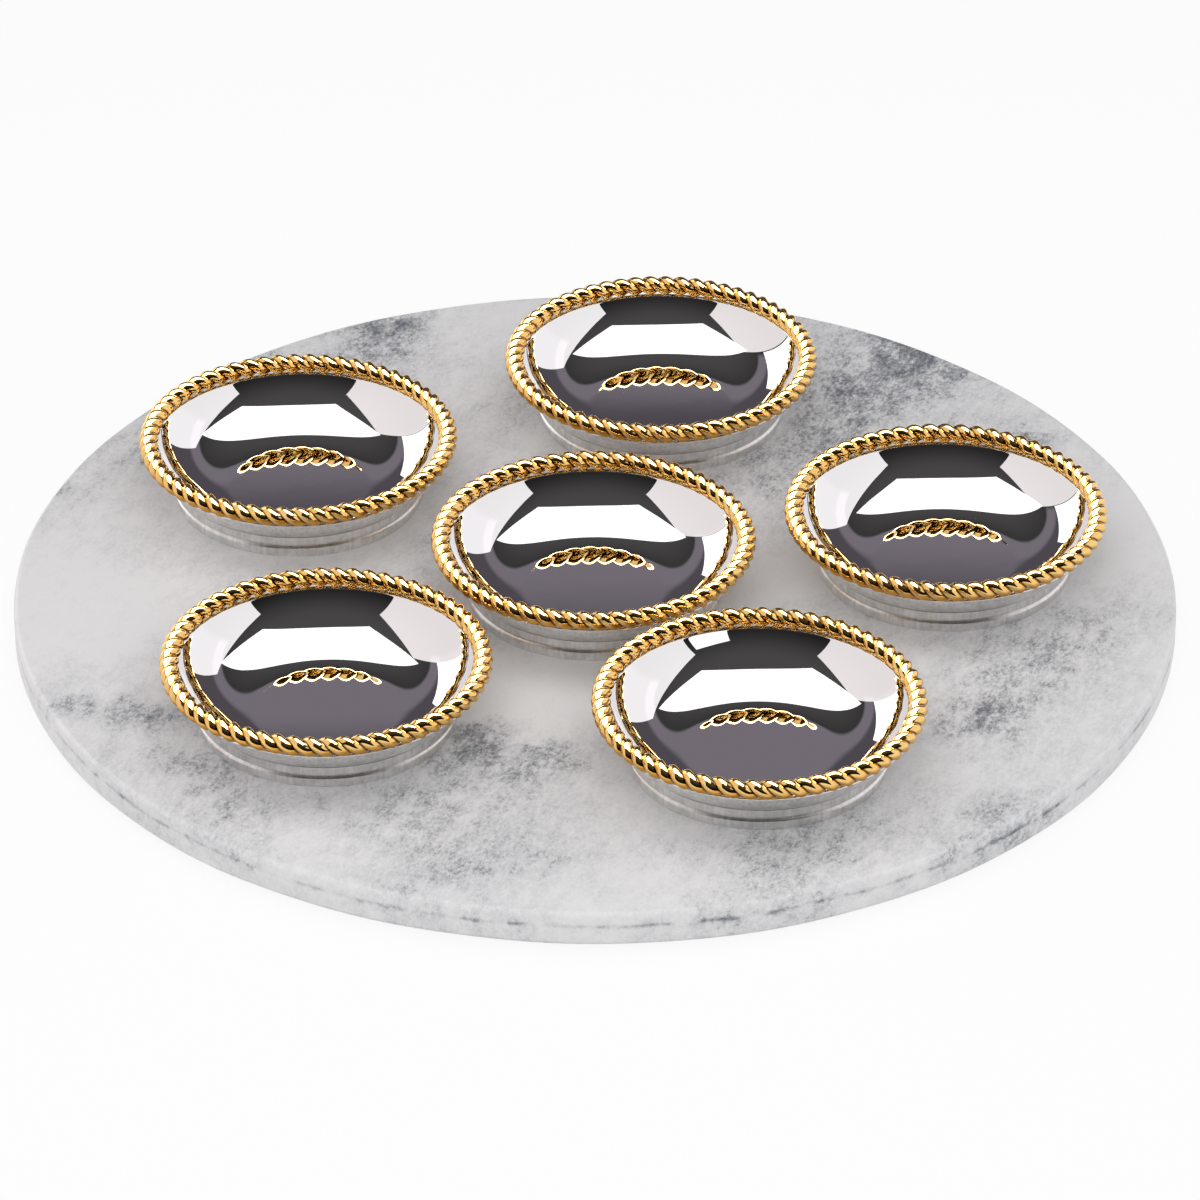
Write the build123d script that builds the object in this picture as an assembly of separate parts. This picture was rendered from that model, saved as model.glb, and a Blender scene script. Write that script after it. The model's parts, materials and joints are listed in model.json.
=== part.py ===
from build123d import *
import math
import os

# Seder plate: a round marble board with six loose metal dishes that lift off it.
# Millimetres, +Z up. The origin is under the middle of the board, on the plane its foot pads stand on.
# +X is to the right and +Y to the rear, as seen by someone sitting at the front of the plate.

# Marble board
board_radius = 203.2
board_thickness = 12.7
board_edge_round = 1.6

# Rubber pads stuck under the board
pad_radius = 6.35
pad_height = 2.0
pad_edge_round = 0.6
pad_count = 4
pad_ring_radius = 150.0

# Pressed steel bowl: a flat floor, a wall that curves up on one arc and a narrow lip turned out under the rope
sheet = 1.0
bowl_floor_radius = 24.0
bowl_wall_radius = 32.0
bowl_depth = 16.7
bowl_lip_width = 1.3
bowl_lip_bend = 1.3
bowl_floor_clearance = 1.0

# Collar that the bowl stands in: a rounded foot, a turned groove over it and a band up to the bowl
collar_inset = 7.1
collar_wall = 1.0
collar_flare = 1.2
groove_height = 4.4
groove_depth = 0.4
groove_half_width = 0.5
foot_swell = 0.4

# Gold rope on the lip: two fat strands twisted together and closed into a ring
rope_radius = 3.4
rope_inset = 0.2
strand_count = 2
rope_turns = 30
strand_shoulder_angle = 32.0
strand_groove_radius = 1.83
facets_per_lobe = 3

# Brazed seams and the layout on the board
seam_gap = 0.1
dish_gap = 9.5
ring_start_angle = 6.7

# Derived heights and radii of a dish, measured from the top of the board
floor_top = bowl_floor_clearance + sheet
lip_top = floor_top + bowl_depth
wall_centre = floor_top + bowl_wall_radius


def wall_radius_at(height, arc):
    """Radius of the wall at a height, on an arc of this size round the wall's centre."""
    return bowl_floor_radius + math.sqrt(arc ** 2 - (wall_centre - height) ** 2)


def wall_height_at(radius, arc):
    """Height of the wall at a radius, on an arc of this size round the wall's centre."""
    return wall_centre - math.sqrt(arc ** 2 - (radius - bowl_floor_radius) ** 2)


outside_arc = bowl_wall_radius + sheet
bowl_mouth_radius = wall_radius_at(lip_top, bowl_wall_radius)
bowl_outer_radius = wall_radius_at(lip_top - sheet, outside_arc)
lip_radius = bowl_mouth_radius + bowl_lip_width
rope_ring_radius = lip_radius - rope_inset
rope_height = lip_top + seam_gap + rope_radius
dish_radius = rope_ring_radius + rope_radius
board_top = pad_height + board_thickness
dish_ring_radius = 2 * dish_radius + dish_gap

# The dishes stand by hand on a ring of five and one in the middle: name, turn and slip from the even place
ring_dishes = [
    ("right", -0.9, 0.7),
    ("rear", -0.1, -1.9),
    ("left_rear", -1.0, -0.4),
    ("left_front", 0.1, 1.3),
    ("right_front", 2.0, 0.2),
]
centre_dish = ("centre", -0.5, -6.2)


def marble_board():
    """A plain disc whose two rims are eased by the polisher."""
    disc = Cylinder(board_radius, board_thickness, align=(Align.CENTER, Align.CENTER, Align.MIN))
    disc = fillet(disc.edges().filter_by(GeomType.CIRCLE), board_edge_round)
    return Pos(0, 0, pad_height) * disc


def foot_pad():
    """A flat round pad with its lower rim rounded."""
    disc = Cylinder(pad_radius, pad_height, align=(Align.CENTER, Align.CENTER, Align.MIN))
    return fillet(disc.edges().sort_by(Axis.Z)[0], pad_edge_round)


def wall_curve(arc, high):
    """The flat floor from the middle out and the arc that the wall climbs from it up to a height."""
    low = wall_centre - arc
    climb = math.degrees(math.acos((wall_centre - high) / arc))
    floor_line = Line((0, 0, low), (bowl_floor_radius, 0, low))
    wall_plane = Plane((bowl_floor_radius, 0, wall_centre), x_dir=(1, 0, 0), z_dir=(0, -1, 0))
    wall_arc = wall_plane * CenterArc((0, 0), arc, -90, climb)
    return floor_line, wall_arc


def bowl():
    """One sheet, pressed to a flat floor that curves up into the wall and out into the lip."""
    floor_inside, wall_inside = wall_curve(bowl_wall_radius, lip_top)
    floor_outside, wall_outside = wall_curve(outside_arc, lip_top - sheet)
    lip = Polyline(
        wall_inside @ 1,
        (lip_radius, 0, lip_top),
        (lip_radius, 0, lip_top - sheet),
        wall_outside @ 1,
    )
    middle = Line(floor_outside @ 0, floor_inside @ 0)
    outline = [floor_inside, wall_inside, lip, wall_outside, floor_outside, middle]
    pressed = revolve(make_face(outline), Axis.Z)
    pressed = fillet(edge_at(pressed, bowl_mouth_radius, lip_top), bowl_lip_bend)
    return fillet(edge_at(pressed, bowl_outer_radius, lip_top - sheet), bowl_lip_bend - sheet)


def edge_at(turned, radius, height):
    """The round edge of a turned piece with this radius and height."""
    rounds = turned.edges().filter_by(GeomType.CIRCLE)
    return min(rounds, key=lambda edge: abs(edge.radius - radius) + abs(edge.center().Z - height))


def collar():
    """A ring with a rounded foot and a turned groove, whose flared band follows the bowl's outside at its top."""
    clear_arc = outside_arc + seam_gap
    outer_top = bowl_mouth_radius - collar_inset
    inner_top = outer_top - collar_wall
    band_height = wall_height_at(outer_top, clear_arc)
    inner_foot = inner_top - collar_flare

    def outer_at(height):
        return outer_top - collar_flare * (1 - height / band_height)

    band = Polyline(
        (outer_at(groove_height) - groove_depth, 0, groove_height),
        (outer_at(groove_height + groove_half_width), 0, groove_height + groove_half_width),
        (outer_top, 0, band_height),
        (inner_top, 0, wall_height_at(inner_top, clear_arc)),
        (inner_foot, 0, 0),
        (outer_at(0), 0, 0),
    )
    middle_height = groove_height / 2
    foot = ThreePointArc(band @ 1, (outer_at(middle_height) + foot_swell, 0, middle_height), band @ 0)
    return revolve(make_face([band, foot]), Axis.Z)


def rope_rim():
    """Two strands twisted together, as a ring of facets whose section turns as it goes round.

    Each strand shows two shoulders in the section, with a groove between it and the next strand.
    """
    lobe_angle = 360 / strand_count
    corners = []
    for strand in range(strand_count):
        middle = strand * lobe_angle
        corners.append((rope_radius, middle - strand_shoulder_angle))
        corners.append((rope_radius, middle + strand_shoulder_angle))
        corners.append((strand_groove_radius, middle + lobe_angle / 2))
    steps = rope_turns * strand_count * facets_per_lobe
    twist_per_step = lobe_angle / facets_per_lobe

    def point(step, corner):
        reach, angle = corners[corner % len(corners)]
        turned = math.radians(angle - step * twist_per_step)
        around = 2 * math.pi * step / steps
        radius = rope_ring_radius + reach * math.cos(turned)
        height = rope_height + reach * math.sin(turned)
        return Vector(radius * math.cos(around), radius * math.sin(around), height)

    facets = []
    for step in range(steps):
        for corner in range(len(corners)):
            near, near_next = point(step, corner), point(step, corner + 1)
            far, far_next = point(step + 1, corner), point(step + 1, corner + 1)
            facets.append(Face(Wire.make_polygon([near, far, far_next])))
            facets.append(Face(Wire.make_polygon([near, far_next, near_next])))
    return Solid(Shell(facets))


def dish_places():
    """Centre of each dish on the board, by name."""
    places = {}
    for index, (name, turn, slip) in enumerate(ring_dishes):
        angle = math.radians(ring_start_angle + index * 360 / len(ring_dishes) + turn)
        reach = dish_ring_radius + slip
        places[name] = (reach * math.cos(angle), reach * math.sin(angle))
    name, across, back = centre_dish
    places[name] = (across, back)
    return places


def save(node, solid):
    solid.label = node
    export_step(solid, f"parts/{node}.step")


os.makedirs("parts", exist_ok=True)
save("marble_board", marble_board())

pad = foot_pad()
for index in range(pad_count):
    pad_angle = (index + 0.5) * 360 / pad_count
    save(f"foot_pad_{index + 1}", Rot(0, 0, pad_angle) * Pos(pad_ring_radius, 0, 0) * pad)

dish_pieces = {"bowl": bowl(), "collar": collar(), "rope_rim": rope_rim()}
for place, (across, back) in dish_places().items():
    for piece, solid in dish_pieces.items():
        save(f"{piece}_{place}", Pos(across, back, board_top) * solid)
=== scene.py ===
import json
import math

import bmesh
import bpy
import numpy as np
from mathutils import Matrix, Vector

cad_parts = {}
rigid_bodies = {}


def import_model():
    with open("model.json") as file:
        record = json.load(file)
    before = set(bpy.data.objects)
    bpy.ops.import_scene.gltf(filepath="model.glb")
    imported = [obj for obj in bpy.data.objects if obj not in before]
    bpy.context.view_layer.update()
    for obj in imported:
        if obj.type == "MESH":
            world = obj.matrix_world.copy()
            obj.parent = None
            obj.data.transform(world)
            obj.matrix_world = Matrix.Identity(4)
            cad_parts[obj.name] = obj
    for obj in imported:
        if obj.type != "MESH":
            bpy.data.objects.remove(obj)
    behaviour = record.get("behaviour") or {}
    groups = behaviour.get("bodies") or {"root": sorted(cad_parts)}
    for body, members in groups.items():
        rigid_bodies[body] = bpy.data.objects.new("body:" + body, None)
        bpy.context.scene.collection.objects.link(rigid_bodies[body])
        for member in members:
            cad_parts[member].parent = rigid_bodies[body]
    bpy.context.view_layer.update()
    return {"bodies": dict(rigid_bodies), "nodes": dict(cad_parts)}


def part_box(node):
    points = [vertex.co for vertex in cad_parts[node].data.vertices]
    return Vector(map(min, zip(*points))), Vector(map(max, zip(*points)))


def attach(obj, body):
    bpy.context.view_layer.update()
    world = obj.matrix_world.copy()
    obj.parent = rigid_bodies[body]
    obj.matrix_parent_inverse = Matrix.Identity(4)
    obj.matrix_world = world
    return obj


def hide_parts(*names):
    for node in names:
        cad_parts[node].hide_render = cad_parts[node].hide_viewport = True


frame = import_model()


# Marble board
# One disc of grey-clouded white marble, honed on top. Its sawn rims are eased by hand,
# so the eased edge is a little wider in one place than in another.
def skin(name, points, closed_along=False):
    """Mesh of a grid of points, with rows along a profile and columns round it.

    The last column joins the first, and the last row the first if closed_along. A row drawn in to one point
    becomes a pole.
    """
    merge_distance = 1e-8
    rows, columns = points.shape[:2]
    index = np.arange(rows * columns).reshape(rows, columns)
    if closed_along:
        index = np.concatenate([index, index[:1]])
    near, far = index[:-1], index[1:]
    quads = np.stack([near, np.roll(near, -1, 1), np.roll(far, -1, 1), far], -1).reshape(-1, 4)
    mesh = bpy.data.meshes.new(name)
    mesh.from_pydata(points.reshape(-1, 3).tolist(), [], quads.tolist())
    work = bmesh.new()
    work.from_mesh(mesh)
    bmesh.ops.remove_doubles(work, verts=work.verts, dist=merge_distance)
    bmesh.ops.recalc_face_normals(work, faces=work.faces)
    work.to_mesh(mesh)
    work.free()
    mesh.shade_smooth()
    piece = bpy.data.objects.new(name, mesh)
    bpy.context.scene.collection.objects.link(piece)
    return piece


def turned(radius, height, columns, centre=(0.0, 0.0)):
    """Grid of a turned piece: the profile's radius and height, carried round the centre in equal steps."""
    angle = np.arange(columns) * 2 * math.pi / columns
    radius = np.reshape(radius, (len(radius), -1))
    height = np.reshape(height, (len(height), -1)) + np.zeros(columns)
    across = centre[0] + radius * np.cos(angle)
    back = centre[1] + radius * np.sin(angle)
    return np.stack([across, back, height], -1)


def node(tree, kind, inputs=None, **settings):
    """The outputs of a new shader node. Its inputs are values, or sockets that are linked in."""
    made = tree.nodes.new(kind)
    for key, value in settings.items():
        setattr(made, key, value)
    for key, value in (inputs or {}).items():
        if isinstance(value, bpy.types.NodeSocket):
            tree.links.new(value, made.inputs[key])
        else:
            made.inputs[key].default_value = value
    return made.outputs


def maths(tree, operation, *values):
    """One step of arithmetic on numbers or sockets."""
    return node(tree, "ShaderNodeMath", dict(enumerate(values)), operation=operation)[0]


def blend_colour(tree, share, low, high):
    """The colour low where share is 0 and high where it is 1."""
    return node(tree, "ShaderNodeMix", {0: share, 6: low, 7: high}, data_type="RGBA")[2]


def spread(tree, value, low, high, start=0.0, end=1.0):
    """A value stretched from low..high to start..end, smoothly, and held at the ends."""
    inputs = {0: value, 1: low, 2: high, 3: start, 4: end}
    return node(tree, "ShaderNodeMapRange", inputs, interpolation_type="SMOOTHSTEP")[0]


def noise(tree, vector, scale, detail=4.0, roughness=0.5):
    """Fractal noise from 0 to 1 at a scale per metre."""
    values = {"Vector": vector, "Scale": scale, "Detail": detail, "Roughness": roughness}
    return node(tree, "ShaderNodeTexNoise", values)


def new_finish(name):
    """A new material, with its tree and its Principled shader."""
    material = bpy.data.materials.new(name)
    material.use_nodes = True
    tree = material.node_tree
    return material, tree, tree.nodes["Principled BSDF"]


def set_sockets(tree, shader, values):
    """Values that are the same all over are set on the shader's own sockets, and the rest are linked."""
    for key, value in values.items():
        if isinstance(value, bpy.types.NodeSocket):
            tree.links.new(value, shader.inputs[key])
        else:
            shader.inputs[key].default_value = value


board_low, board_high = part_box("marble_board")
board_radius = min(board_high.x, board_high.y, -board_low.x, -board_low.y)
board_columns = 640
flat_ring_count = 8
eased_step_count = 9
board_angle = np.arange(board_columns) * 2 * math.pi / board_columns
# The eased edge is about 2.2 mm wide, with three waves of the hand round the rim.
eased_width = 0.0022
eased_edge = eased_width * (
    1
    + 0.18 * np.sin(3 * board_angle + 0.6)
    + 0.12 * np.sin(7 * board_angle + 2.1)
    + 0.10 * np.sin(19 * board_angle + 4.0)
)
flat_rings = np.linspace(0, 1, flat_ring_count)[:, None]
quarter = np.linspace(0, math.pi / 2, eased_step_count)[1:, None]
flat_radius = flat_rings * (board_radius - eased_edge)
round_radius = board_radius - eased_edge * (1 - np.sin(quarter))
round_drop = eased_edge * (1 - np.cos(quarter))
flat_height = np.zeros_like(flat_radius)
board_rows_radius = np.concatenate([flat_radius, round_radius, round_radius[::-1], flat_radius[::-1]])
board_rows_height = np.concatenate(
    [
        board_high.z + flat_height,
        board_high.z - round_drop,
        board_low.z + round_drop[::-1],
        board_low.z + flat_height,
    ]
)
board = skin("marble_disc", turned(board_rows_radius, board_rows_height, board_columns))


def cloud_group():
    """Group: a soft oval cloud, weight * exp(-(u / long)^2 - (v / wide)^2), with u and v turned about Z."""
    group = bpy.data.node_groups.new("marble_cloud", "ShaderNodeTree")
    for name, kind in (
        ("Vector", "NodeSocketVector"),
        ("Centre", "NodeSocketVector"),
        ("Turn", "NodeSocketFloat"),
        ("Reach", "NodeSocketVector"),
        ("Weight", "NodeSocketFloat"),
    ):
        group.interface.new_socket(name, in_out="INPUT", socket_type=kind)
    group.interface.new_socket("Mask", in_out="OUTPUT", socket_type="NodeSocketFloat")
    given = node(group, "NodeGroupInput")
    ends = {0: given["Vector"], 1: given["Centre"]}
    apart = node(group, "ShaderNodeVectorMath", ends, operation="SUBTRACT")[0]
    back = maths(group, "MULTIPLY", given["Turn"], -1.0)
    about = {"Vector": apart, "Angle": back}
    level = node(group, "ShaderNodeVectorRotate", about, rotation_type="Z_AXIS")[0]
    ratio = node(group, "ShaderNodeVectorMath", {0: level, 1: given["Reach"]}, operation="DIVIDE")[0]
    square = node(group, "ShaderNodeVectorMath", {0: ratio, 1: ratio}, operation="DOT_PRODUCT")
    fall = maths(group, "EXPONENT", maths(group, "MULTIPLY", square["Value"], -1.0))
    mask = maths(group, "MULTIPLY", fall, given["Weight"])
    node(group, "NodeGroupOutput", {"Mask": mask})
    return group


# Each cloud is a centre, a length and width in metres, a turn in degrees and a weight.
# A weight below zero makes paler stone.
marble_clouds = [
    (0.112, 0.150, 0.052, 0.022, 50, 0.90),
    (0.134, 0.165, 0.026, 0.013, -25, 0.80),
    (0.150, 0.095, 0.016, 0.009, 35, 0.75),
    (0.081, 0.097, 0.030, 0.018, 45, 0.45),
    (-0.073, 0.181, 0.018, 0.010, 45, 0.85),
    (-0.083, 0.163, 0.026, 0.014, 50, 0.60),
    (-0.150, 0.142, 0.032, 0.014, 50, 0.50),
    (-0.156, 0.092, 0.020, 0.014, 60, 0.70),
    (-0.165, -0.080, 0.016, 0.009, -20, 0.80),
    (-0.145, -0.084, 0.014, 0.009, 30, 0.75),
    (-0.134, -0.110, 0.024, 0.012, 20, 0.50),
    (-0.101, -0.134, 0.036, 0.014, 15, 0.36),
    (-0.066, -0.143, 0.034, 0.014, 10, 0.32),
    (-0.041, -0.101, 0.020, 0.008, 40, 1.10),
    (-0.018, -0.111, 0.028, 0.009, 20, 0.75),
    (-0.030, -0.172, 0.036, 0.014, 15, 0.48),
    (0.146, -0.058, 0.024, 0.012, 40, 0.34),
    (0.170, -0.034, 0.032, 0.014, 40, 0.32),
    (0.128, -0.086, 0.016, 0.009, 30, 0.70),
    (0.146, -0.080, 0.024, 0.010, 35, 0.40),
    (0.146, -0.142, 0.026, 0.014, 30, 0.55),
    (0.080, -0.154, 0.046, 0.018, 15, 0.48),
    (-0.028, 0.126, 0.022, 0.018, 0, 0.35),
    (-0.179, -0.024, 0.045, 0.030, 20, -0.50),
    (-0.032, -0.073, 0.062, 0.020, 38, -0.60),
    (0.066, 0.000, 0.045, 0.020, 45, -0.45),
    (0.185, 0.045, 0.040, 0.022, 60, -0.35),
    (0.030, -0.187, 0.070, 0.016, 10, 0.08),
]


def marble():
    """Pale crystalline stone with drifting grey clouds, clumps of crystals in them and fine dark grains.

    The greyer the stone, the more its crystals differ. A thin dark seam runs along the side of the slab.
    """
    cloud_drift = 0.045
    cloud_share = 0.54
    seam_height = 0.0066
    seam_drift = 0.0030
    seam_width = 0.0008
    material, tree, shader = new_finish("grey_marble")
    place = node(tree, "ShaderNodeTexCoord")["Object"]
    drift = noise(tree, place, 34.0, detail=6.0, roughness=0.65)["Color"]
    shift = node(tree, "ShaderNodeVectorMath", {0: drift, 1: (0.5, 0.5, 0.5)}, operation="SUBTRACT")[0]
    moved = {0: shift, 1: (cloud_drift, cloud_drift, cloud_drift), 2: place}
    warped = node(tree, "ShaderNodeVectorMath", moved, operation="MULTIPLY_ADD")[0]
    group = cloud_group()
    cloud = 0.0
    for across, back, length, width, turn, weight in marble_clouds:
        values = {
            "Vector": warped,
            "Centre": (across, back, board_high.z),
            "Turn": math.radians(turn),
            "Reach": (length, width, 1.0),
            "Weight": weight,
        }
        cloud = maths(tree, "ADD", cloud, node(tree, "ShaderNodeGroup", values, node_tree=group)["Mask"])
    slant = {"Rotation": (0, 0, math.radians(70)), "Scale": (1.5, 1.0, 1.0)}
    lay = node(tree, "ShaderNodeMapping", {"Vector": place, **slant}, vector_type="TEXTURE")[0]
    drawn = node(tree, "ShaderNodeMapping", {"Vector": warped, **slant}, vector_type="TEXTURE")[0]
    broad = noise(tree, drawn, 24.0, detail=3.0)["Fac"]
    clump = noise(tree, lay, 140.0, detail=4.0, roughness=0.65)["Fac"]
    crystal = noise(tree, lay, 620.0, detail=4.0, roughness=0.85)["Fac"]
    speck = noise(tree, place, 1500.0, detail=2.0, roughness=0.6)["Fac"]
    haze = maths(tree, "MULTIPLY_ADD", cloud, cloud_share, spread(tree, broad, 0.30, 0.75, 0.02, 0.26))
    haze = maths(tree, "MAXIMUM", haze, 0.0)
    patchy = maths(tree, "MULTIPLY_ADD", maths(tree, "MINIMUM", haze, 0.5), 3.0, 0.25)
    depth = maths(tree, "MULTIPLY_ADD", maths(tree, "SUBTRACT", clump, 0.5), patchy, haze)
    depth = maths(tree, "MAXIMUM", depth, 0.0)
    amount = maths(tree, "MULTIPLY_ADD", maths(tree, "MINIMUM", depth, 0.5), 4.4, 0.25)
    grain = maths(tree, "MULTIPLY", maths(tree, "SUBTRACT", crystal, 0.5), amount)
    dark_part = spread(tree, depth, 0.12, 0.5, 0.0, 0.65)
    dots = maths(tree, "MULTIPLY", spread(tree, speck, 0.58, 0.74), dark_part)
    level = node(tree, "ShaderNodeSeparateXYZ", {0: place})["Z"]
    wave = noise(tree, place, 30.0, detail=3.0)["Fac"]
    seam_level = maths(tree, "MULTIPLY_ADD", wave, seam_drift, board_low.z + seam_height)
    off_seam = maths(tree, "DIVIDE", maths(tree, "SUBTRACT", level, seam_level), seam_width)
    off_square = maths(tree, "MULTIPLY", off_seam, off_seam)
    seam_line = maths(tree, "EXPONENT", maths(tree, "MULTIPLY", off_square, -1.0))
    seam = maths(tree, "MULTIPLY", seam_line, spread(tree, clump, 0.36, 0.66, 0.06, 0.50))
    share = maths(tree, "ADD", maths(tree, "ADD", depth, grain), maths(tree, "ADD", dots, seam))
    ramp = node(tree, "ShaderNodeValToRGB", {"Fac": share})
    stops = [
        (0.00, (0.81, 0.81, 0.815, 1)),
        (0.35, (0.63, 0.635, 0.65, 1)),
        (0.65, (0.39, 0.40, 0.42, 1)),
        (1.00, (0.16, 0.17, 0.195, 1)),
    ]
    colours = tree.nodes[-1].color_ramp
    while len(colours.elements) < len(stops):
        colours.elements.new(0.5)
    for element, (position, colour) in zip(colours.elements, stops):
        element.position = position
        element.color = colour
    rough = spread(tree, crystal, 0.3, 0.7, 0.30, 0.42)
    bump = node(tree, "ShaderNodeBump", {"Height": crystal, "Strength": 0.05, "Distance": 0.0004})[0]
    values = {
        "Base Color": ramp["Color"],
        "Roughness": rough,
        "Normal": bump,
        "IOR": 1.49,
        "Specular IOR Level": 0.4,
    }
    set_sockets(tree, shader, values)
    return material


board.data.materials.append(marble())
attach(board, "board")
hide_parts("marble_board")


# Foot pads
# Four moulded rubber pads stuck under the stone keep it off the table.
# Their shape is the frame's own, so only their finish is made here.
def pad_rubber():
    """Dark rubber with a fine moulded grain and paler dust in patches."""
    material, tree, shader = new_finish("pad_rubber")
    place = node(tree, "ShaderNodeTexCoord")["Object"]
    grain = noise(tree, place, 2600.0, detail=3.0)["Fac"]
    dust = spread(tree, noise(tree, place, 240.0, detail=5.0)["Fac"], 0.5, 0.75, 0.0, 0.5)
    colour = blend_colour(tree, dust, (0.016, 0.016, 0.017, 1), (0.07, 0.068, 0.065, 1))
    bump = node(tree, "ShaderNodeBump", {"Height": grain, "Strength": 0.3, "Distance": 0.0002})[0]
    rough = spread(tree, grain, 0.3, 0.7, 0.7, 0.9)
    set_sockets(tree, shader, {"Base Color": colour, "Roughness": rough, "Normal": bump})
    return material


pad_finish = pad_rubber()
for name, cad_node in frame["nodes"].items():
    if name.startswith("foot_pad"):
        for material_slot in cad_node.material_slots:
            material_slot.material = pad_finish


# Collars
# The low ring that each bowl stands in: spun steel, satin from the lathe, with a rounded foot,
# one turned groove above it and a slightly flared band that follows the bowl's outside at its top.
collar_columns = 384
dish_names = [body[len("dish_"):] for body in frame["bodies"] if body.startswith("dish_")]


def dish_centre(name):
    """Middle of a dish on the board, from its bowl."""
    low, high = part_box(f"bowl_{name}")
    return (low.x + high.x) / 2, (low.y + high.y) / 2


def keep_place(piece, name):
    """Stores each point's place about the dish's own axis, so that marks of the lathe follow the dish."""
    points = np.empty(len(piece.data.vertices) * 3)
    piece.data.vertices.foreach_get("co", points)
    points = points.reshape(-1, 3) - np.array([*dish_centre(name), board_high.z])
    kept = piece.data.attributes.new("dish_place", "FLOAT_VECTOR", "POINT")
    kept.data.foreach_set("vector", points.ravel())
    return points


def collar_profile(outer_top, height):
    """Outline of the ring's section: over the rounded foot, up past the groove and down the inside.

    The foot swells as a half sine to the power 0.6, and the groove is cut in as a bell curve.
    """
    wall = 0.0010
    flare = 0.0012
    groove_height = 0.0044
    groove_depth = 0.00055
    groove_width = 0.0010
    foot_swell = 0.00045
    foot_fullness = 0.6
    top_drop = 0.0008
    outside_rows = 72
    inside_rows = 8
    level = np.linspace(0, 1, outside_rows) * height
    outside = outer_top - flare * (1 - level / height)
    outside = outside + foot_swell * np.sin(math.pi * np.clip(level / groove_height, 0, 1)) ** foot_fullness
    outside = outside - groove_depth * np.exp(-(((level - groove_height) / (groove_width / 2)) ** 2))
    down = np.linspace(1, 0, inside_rows)
    inside = outer_top - wall - flare * (1 - down)
    return np.concatenate([outside, inside]), np.concatenate([level, (height - top_drop) * down])


def satin_steel():
    """Steel left satin by the lathe: fine rings round the axis, faint upright rubbing marks and stains."""
    material, tree, shader = new_finish("satin_steel")
    place = node(tree, "ShaderNodeAttribute", attribute_name="dish_place")["Vector"]
    rings = node(tree, "ShaderNodeMapping", {"Vector": place, "Scale": (12.0, 12.0, 5200.0)})[0]
    ring = noise(tree, rings, 1.0, detail=4.0, roughness=0.6)["Fac"]
    rubs = node(tree, "ShaderNodeMapping", {"Vector": place, "Scale": (700.0, 700.0, 60.0)})[0]
    rub = noise(tree, rubs, 1.0, detail=3.0)["Fac"]
    stain = noise(tree, place, 260.0, detail=6.0, roughness=0.75)["Fac"]
    worn = maths(tree, "MULTIPLY_ADD", rub, 0.5, maths(tree, "MULTIPLY", stain, 0.5))
    dull, bright = (0.70, 0.685, 0.66, 1), (0.94, 0.93, 0.915, 1)
    colour = blend_colour(tree, spread(tree, worn, 0.35, 0.65), dull, bright)
    rough = spread(tree, worn, 0.3, 0.7, 0.28, 0.42)
    bump = node(tree, "ShaderNodeBump", {"Height": ring, "Strength": 0.10, "Distance": 0.00012})[0]
    set_sockets(tree, shader, {"Base Color": colour, "Roughness": rough, "Normal": bump, "Metallic": 1.0})
    return material


collar_finish = satin_steel()
for name in dish_names:
    low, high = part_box(f"collar_{name}")
    section_radius, section_height = collar_profile((high.x - low.x) / 2, high.z - low.z)
    grid = turned(section_radius, low.z + section_height, collar_columns, dish_centre(name))
    collar = skin(f"collar_band_{name}", grid, closed_along=True)
    keep_place(collar, name)
    collar.data.materials.append(collar_finish)
    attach(collar, f"dish_{name}")
    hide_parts(f"collar_{name}")


# Bowls
# Each is one steel sheet, pressed to a nearly flat floor that curves up into the wall on one arc and out
# into a narrow lip, then polished to a mirror inside and left satin outside. The rope is brazed on the lip.
bowl_columns = 360
floor_arcs = {
    "right": 1.3,
    "rear": 0.9,
    "left_rear": 1.3,
    "left_front": 0.85,
    "right_front": 1.7,
    "centre": 1.5,
}


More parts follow.
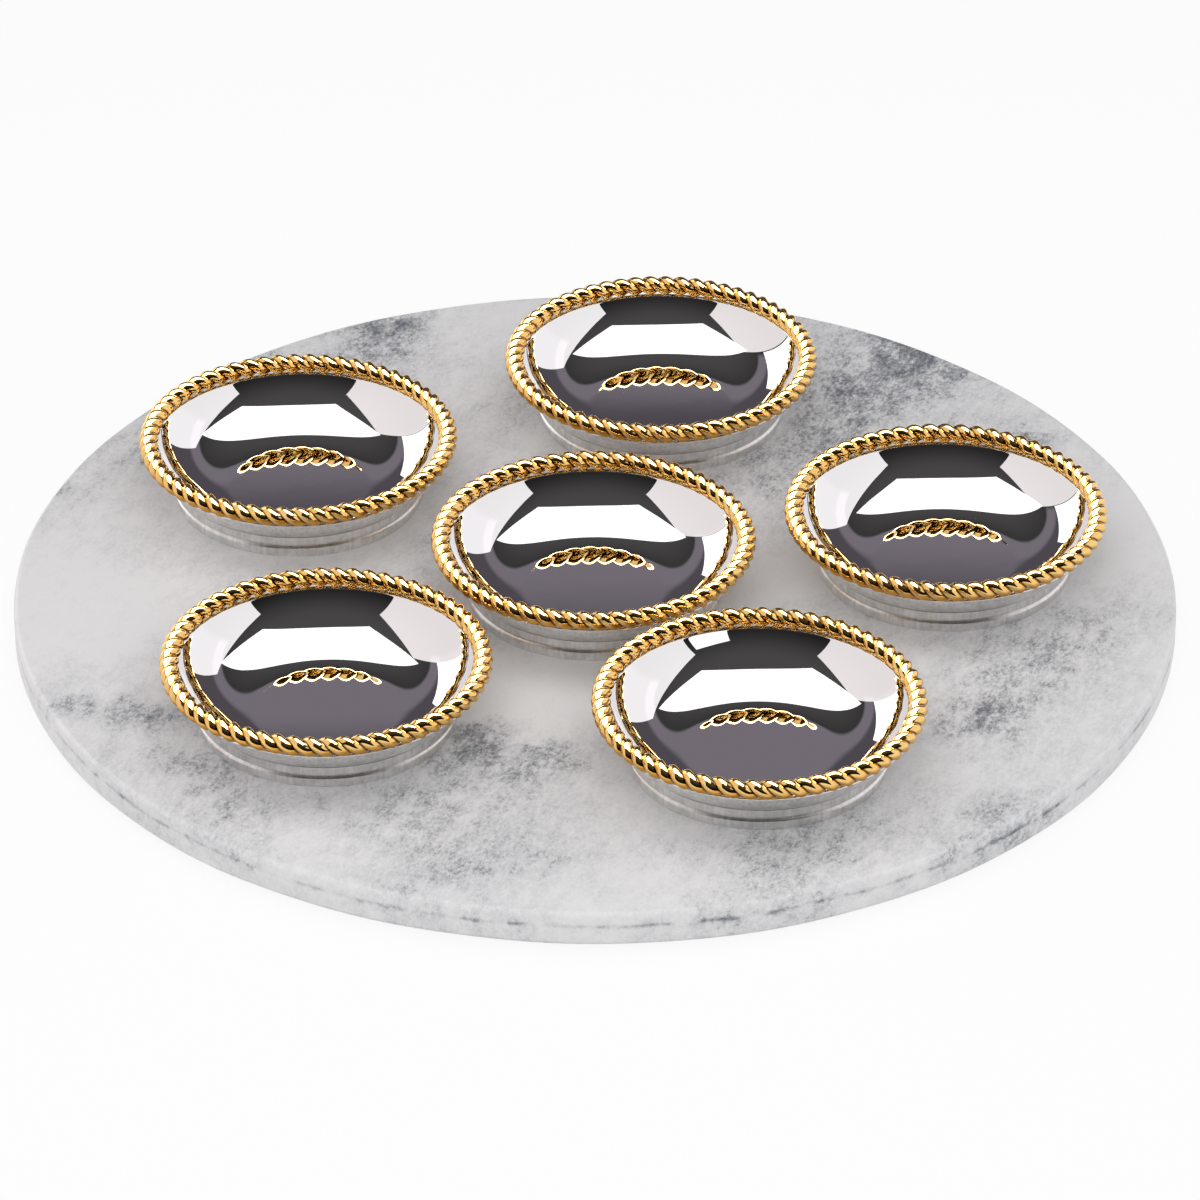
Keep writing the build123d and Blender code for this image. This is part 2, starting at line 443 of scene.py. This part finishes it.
def bowl_profile(lip_radius, bottom, lip_top, floor_arc):
    """Section of the sheet, from the middle of the floor out over the lip and back under it.

    The hollow floor is an arc about the dish's axis, tangent inside to the wall's arc. The wall's arc and
    the bend into the lip are each drawn about one centre for both faces of the sheet.
    """
    floor_steps, wall_steps, bend_steps, edge_steps = 24, 80, 12, 9
    sheet = 0.0010
    wall_arc = 0.0320
    wall_middle = 0.0240
    lip_bend = 0.0013
    wall_centre = bottom + sheet + wall_arc
    bend_centre = lip_top - lip_bend
    lean = math.asin((wall_centre - bend_centre) / (wall_arc + lip_bend))
    bend_middle = wall_middle + (wall_arc + lip_bend) * math.cos(lean)
    floor_centre = wall_centre + math.sqrt((floor_arc - wall_arc) ** 2 - wall_middle ** 2)
    floor_edge = wall_middle * floor_arc / (floor_arc - wall_arc)

    def wall_and_bend(depth, start):
        """Wall from an angle off straight down, and the bend, at a depth in the sheet."""
        climb = np.linspace(start, math.pi / 2 - lean, wall_steps)
        fold = np.linspace(lean, math.pi / 2, bend_steps)
        wall_reach = wall_arc + depth
        bend_reach = lip_bend - depth
        radius = [wall_middle + wall_reach * np.sin(climb), bend_middle - bend_reach * np.cos(fold)]
        height = [wall_centre - wall_reach * np.cos(climb), bend_centre + bend_reach * np.sin(fold)]
        return np.concatenate(radius), np.concatenate(height)

    floor_radius = np.linspace(0, floor_edge, floor_steps)[:-1]
    floor_height = floor_centre - np.sqrt(floor_arc ** 2 - floor_radius ** 2)
    inner_radius, inner_height = wall_and_bend(0.0, math.asin(floor_edge / floor_arc))
    outer_radius, outer_height = wall_and_bend(sheet, 0.0)
    edge = np.linspace(0, math.pi, edge_steps)
    edge_radius = lip_radius - sheet / 2 + sheet / 2 * np.sin(edge)
    edge_height = lip_top - sheet / 2 + sheet / 2 * np.cos(edge)
    radius = np.concatenate([floor_radius, inner_radius, edge_radius, outer_radius[::-1], [0.0]])
    height = np.concatenate([floor_height, inner_height, edge_height, outer_height[::-1], [bottom]])
    return radius, height


def mirror_steel():
    """Mirror-polished steel: very faint waves from the press, polishing haze, and a few fine wipe marks."""
    material, tree, shader = new_finish("mirror_steel")
    place = node(tree, "ShaderNodeAttribute", attribute_name="dish_place")["Vector"]
    wave = noise(tree, place, 60.0, detail=2.0)["Fac"]
    haze = noise(tree, place, 90.0, detail=6.0, roughness=0.65)["Fac"]
    drawn_out = {"Vector": place, "Rotation": (0, 0, 0.6), "Scale": (40.0, 900.0, 900.0)}
    streaks = node(tree, "ShaderNodeMapping", drawn_out)[0]
    wipe = noise(tree, streaks, 1.0, detail=3.0)["Fac"]
    marks = maths(tree, "MULTIPLY", spread(tree, wipe, 0.62, 0.8), spread(tree, haze, 0.45, 0.7))
    rough = maths(tree, "MULTIPLY_ADD", marks, 0.05, spread(tree, haze, 0.35, 0.75, 0.012, 0.035))
    colour = blend_colour(tree, marks, (0.90, 0.895, 0.90, 1), (0.84, 0.835, 0.84, 1))
    bump = node(tree, "ShaderNodeBump", {"Height": wave, "Strength": 0.05, "Distance": 0.0004})[0]
    set_sockets(tree, shader, {"Base Color": colour, "Roughness": rough, "Normal": bump, "Metallic": 1.0})
    return material


bowl_finish = mirror_steel()
for name in dish_names:
    low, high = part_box(f"bowl_{name}")
    section_radius, section_height = bowl_profile((high.x - low.x) / 2, low.z, high.z, floor_arcs[name])
    grid = turned(section_radius, section_height, bowl_columns, dish_centre(name))
    bowl = skin(f"pressed_bowl_{name}", grid)
    keep_place(bowl, name)
    bowl.data.materials.append(bowl_finish)
    bowl.data.materials.append(collar_finish)
    # The faces that look down are the satin outside.
    facing = np.empty(len(bowl.data.polygons) * 3)
    bowl.data.polygons.foreach_get("normal", facing)
    bowl.data.polygons.foreach_set("material_index", (facing[2::3] < 0).astype(int))
    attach(bowl, f"dish_{name}")
    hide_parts(f"bowl_{name}")


# Rope rims
# Two fat wires twisted together, closed into a ring, gold plated and polished, then brazed on the lip.
# Each wire winds round the rope's middle line while it goes round the dish.
strand_count = 2
rope_turns = 30
strand_radius = 0.00238
strand_offset = 0.00101
groove_radius = math.sqrt(strand_radius ** 2 - strand_offset ** 2)
# How far out of the grooves their painted shade and tarnish reach.
groove_softness = 0.45
# How far up the rope the painted amber shade on its low outer side reaches.
under_shade_reach = 1.2
rope_ring_radius = 0.0532
steps_per_turn = 36
strand_steps = rope_turns * steps_per_turn
strand_sides = 24


def strand(phase, centre, middle_height):
    """Grid of one wire, whose section at each place round the dish is an upright circle.

    The circle's middle stands off the ring by the offset, at the angle phase - turns * t, as t goes round.
    """
    t = np.arange(strand_steps)[:, None] * 2 * math.pi / strand_steps
    turn = np.arange(strand_sides) * 2 * math.pi / strand_sides
    wind = phase - rope_turns * t
    reach = rope_ring_radius + strand_offset * np.cos(wind) + strand_radius * np.cos(turn)
    height = middle_height + strand_offset * np.sin(wind) + strand_radius * np.sin(turn)
    return np.stack([centre[0] + reach * np.cos(t), centre[1] + reach * np.sin(t), height], -1)


def rope_gold():
    """Polished gold plate with fine rubbing. Amber painted shade lies low on its outer side, and brown
    painted shade with some tarnish lies in the grooves.
    """
    material, tree, shader = new_finish("rope_gold")
    place = node(tree, "ShaderNodeAttribute", attribute_name="dish_place")["Vector"]
    groove = node(tree, "ShaderNodeAttribute", attribute_name="groove")["Fac"]
    under = node(tree, "ShaderNodeAttribute", attribute_name="under")["Fac"]
    tone = noise(tree, place, 160.0, detail=4.0)["Fac"]
    scuff = noise(tree, place, 2400.0, detail=3.0)["Fac"]
    plate = blend_colour(tree, spread(tree, tone, 0.3, 0.7), (1.0, 0.63, 0.21, 1), (1.0, 0.68, 0.26, 1))
    under_shade_amber, groove_shade_brown = (0.64, 0.30, 0.045, 1), (0.09, 0.033, 0.007, 1)
    # Painted shade: the plate turns amber low on the rope's outer side, where the dish and board would shade
    # it.
    plate = blend_colour(tree, spread(tree, under, 0.15, 0.9), plate, under_shade_amber)
    # Painted shade with some tarnish: the plate turns dark brown deep in the grooves between the wires.
    colour = blend_colour(tree, spread(tree, groove, 0.25, 0.85, 0.0, 0.92), plate, groove_shade_brown)
    rough = maths(tree, "MULTIPLY_ADD", groove, 0.08, spread(tree, scuff, 0.4, 0.75, 0.03, 0.07))
    bump = node(tree, "ShaderNodeBump", {"Height": scuff, "Strength": 0.04, "Distance": 0.0001})[0]
    set_sockets(tree, shader, {"Base Color": colour, "Roughness": rough, "Normal": bump, "Metallic": 1.0})
    return material


rope_finish = rope_gold()
rope_radius = strand_offset + strand_radius
for name in dish_names:
    low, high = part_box(f"rope_rim_{name}")
    middle = (low.z + high.z) / 2
    wires = []
    for index in range(strand_count):
        grid = strand(index * 2 * math.pi / strand_count, dish_centre(name), middle)
        wires.append(skin(f"wire_{index}", grid, closed_along=True))
    with bpy.context.temp_override(active_object=wires[0], selected_editable_objects=wires):
        bpy.ops.object.join()
    rope = wires[0]
    rope.name = f"gold_rope_{name}"
    points = keep_place(rope, name)
    reach = np.hypot(points[:, 0], points[:, 1]) - rope_ring_radius
    rise = points[:, 2] + board_high.z - middle
    # The groove mask is where the painted shade and tarnish of the grooves go, and where the plate is
    # rougher.
    groove_share = (np.hypot(reach, rise) - groove_radius) / (rope_radius - groove_radius)
    groove = np.clip(1 - groove_share / groove_softness, 0, 1)
    # The under mask is where the painted amber shade goes: low on the rope, on its outer side.
    low_shade_share = np.clip(0.5 - rise / (under_shade_reach * rope_radius), 0, 1)
    under = low_shade_share * np.clip(0.5 + reach / rope_radius, 0, 1)
    rope.data.attributes.new("groove", "FLOAT", "POINT").data.foreach_set("value", groove)
    rope.data.attributes.new("under", "FLOAT", "POINT").data.foreach_set("value", under)
    rope.data.materials.append(rope_finish)
    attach(rope, f"dish_{name}")
    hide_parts(f"rope_rim_{name}")


# Floor
# A wide white table top, level under the pads. It is matte, with a glow of its own,
# so that it reads as plain white and still takes a soft shadow.
def white_top():
    """White to the eye and in the metal, with enough plain diffuse white to hold the plate's shadow."""
    glow_share = 0.90
    mirrored_share = 0.5
    material = bpy.data.materials.new("white_top")
    material.use_nodes = True
    tree = material.node_tree
    tree.nodes.remove(tree.nodes["Principled BSDF"])
    rays = node(tree, "ShaderNodeLightPath")
    seen = maths(tree, "ADD", rays["Is Camera Ray"], rays["Is Transmission Ray"])
    seen = maths(tree, "MULTIPLY_ADD", rays["Is Glossy Ray"], mirrored_share, seen)
    share = maths(tree, "MULTIPLY", maths(tree, "MINIMUM", seen, 1.0), glow_share)
    matte = node(tree, "ShaderNodeBsdfDiffuse", {"Color": (0.9, 0.9, 0.9, 1)})[0]
    glow = node(tree, "ShaderNodeEmission", {"Color": (1, 1, 1, 1), "Strength": 1.0})[0]
    both = node(tree, "ShaderNodeMixShader", {0: share, 1: matte, 2: glow})[0]
    tree.links.new(both, tree.nodes["Material Output"].inputs["Surface"])
    return material


floor_rings = np.array([0.0, 0.4, 1.2, 6.0])
floor_columns = 96
floor = skin("floor", turned(floor_rings, np.zeros_like(floor_rings), floor_columns))
floor.data.flip_normals()
floor.data.materials.append(white_top())


# Studio light
# One wide soft box is tilted over the plate, with a glow behind it for the gold alone. White boards stand at
# both sides, a bright window at the rear left and a small white card, flagged off all bowls but one, at the
# front right. The room beyond is dark, with a grey wall behind.
def area_light(name, centre, size, turns, brightness, colour, mirrored=True, only=None):
    """A rectangle that glows evenly at this brightness and isn't seen by the camera.

    It may be left out of mirrors, or be flagged so that it shines on some pieces only.
    """
    light = bpy.data.lights.new(name, "AREA")
    light.shape = "RECTANGLE"
    light.size, light.size_y = size
    light.energy = math.pi * size[0] * size[1] * brightness
    light.color = colour
    panel = bpy.data.objects.new(name, light)
    panel.location = centre
    panel.rotation_euler = [math.radians(turn) for turn in turns]
    panel.visible_camera = False
    panel.visible_glossy = mirrored
    bpy.context.scene.collection.objects.link(panel)
    if only:
        shone_on = bpy.data.collections.new(f"{name}_shines_on")
        for piece in only:
            shone_on.objects.link(piece)
        panel.light_linking.receiver_collection = shone_on


white = (1.0, 1.0, 1.0)
soft_box = ((0.049, 0.051, 1.021), (1.343, 0.925), (-29, 0, 3.3))
area_light("soft_box", *soft_box, 1.35, white)
ropes = [bpy.data.objects[f"gold_rope_{name}"] for name in dish_names]
area_light("rope_gleam", (0.049, 0.057, 1.031), *soft_box[1:], 6.0, white, only=ropes)
area_light("front_fill", (0.0, -1.60, 1.30), (2.4, 1.6), (51, 0, 0), 2.1, white, mirrored=False)
# Each upright stands between two ends, right then left as seen from the plate, and between two heights.
uprights = {
    "left_board": ((-1.17, 0.68), (-1.17, -0.98), 0.0, 1.58, 0.84, (1.0, 0.945, 0.945)),
    "rear_left_window": ((-1.09, 2.07), (-1.37, 0.80), 0.0, 1.07, 1.50, white),
    "right_board": ((1.33, -0.93), (1.33, 1.38), 0.0, 1.42, 0.90, (1.0, 0.985, 0.99)),
    "front_card": ((0.33, -0.72), (0.62, -0.52), 0.20, 0.60, 1.20, white),
}
flagged = {"front_card": [bpy.data.objects["pressed_bowl_right_front"]]}
for name, ((x0, y0), (x1, y1), foot, top, brightness, colour) in uprights.items():
    centre = ((x0 + x1) / 2, (y0 + y1) / 2, (foot + top) / 2)
    size = (math.hypot(x1 - x0, y1 - y0), top - foot)
    turn = math.degrees(math.atan2(y1 - y0, x1 - x0))
    area_light(name, centre, size, (90, 0, turn), brightness, colour, only=flagged.get(name))


def studio_dark():
    """The dark room: black at eye level and charcoal overhead, with a grey wall low down at the rear.

    The eye sees plain white there instead.
    """
    room = bpy.data.worlds.new("dark_studio")
    room.use_nodes = True
    tree = room.node_tree
    towards = node(tree, "ShaderNodeSeparateXYZ", {0: node(tree, "ShaderNodeTexCoord")["Generated"]})
    aside = maths(tree, "ARCTAN2", towards["X"], towards["Y"])
    rise = maths(tree, "ARCSINE", towards["Z"])

    def ramp(value, low, high, start=0.0, end=1.0):
        """An angle stretched from low..high, in degrees, to start..end."""
        return spread(tree, value, math.radians(low), math.radians(high), start, end)

    wall = maths(tree, "MULTIPLY", ramp(aside, -66, -58), ramp(aside, 76, 84, 1.0, 0.0))
    wall = maths(tree, "MULTIPLY", wall, ramp(rise, 37.5, 39.5, 1.0, 0.0))
    charcoal = ramp(rise, 15, 62, 0.008, 0.068)
    grey = ramp(rise, 29.5, 33, 0.08, 0.185)
    brightness = node(tree, "ShaderNodeMix", {0: wall, 2: charcoal, 3: grey})[0]
    tone = blend_colour(tree, wall, (1.0, 0.95, 0.97, 1), (1.0, 0.88, 1.04, 1))
    seen = node(tree, "ShaderNodeLightPath")["Is Camera Ray"]
    shade = tree.nodes["Background"]
    tree.links.new(blend_colour(tree, seen, tone, (1, 1, 1, 1)), shade.inputs["Color"])
    strength = node(tree, "ShaderNodeMix", {0: seen, 2: brightness, 3: 1.0})[0]
    tree.links.new(strength, shade.inputs["Strength"])
    return room


bpy.context.scene.world = studio_dark()


# Camera
# It stands in front and looks down at the plate through a long lens.
camera_rise = math.radians(32.27)
camera_distance = 2.4864
camera_aim = (0.0017, -0.0108, board_high.z)
camera_data = bpy.data.cameras.new("camera")
camera_data.sensor_width = 36.0
camera_data.lens = 213.76
camera = bpy.data.objects.new("camera", camera_data)
camera.location = (
    camera_aim[0],
    camera_aim[1] - camera_distance * math.cos(camera_rise),
    camera_aim[2] + camera_distance * math.sin(camera_rise),
)
camera.rotation_euler = (math.pi / 2 - camera_rise, 0, 0)
bpy.context.scene.collection.objects.link(camera)
bpy.context.scene.camera = camera
bpy.context.scene.view_settings.view_transform = "Standard"
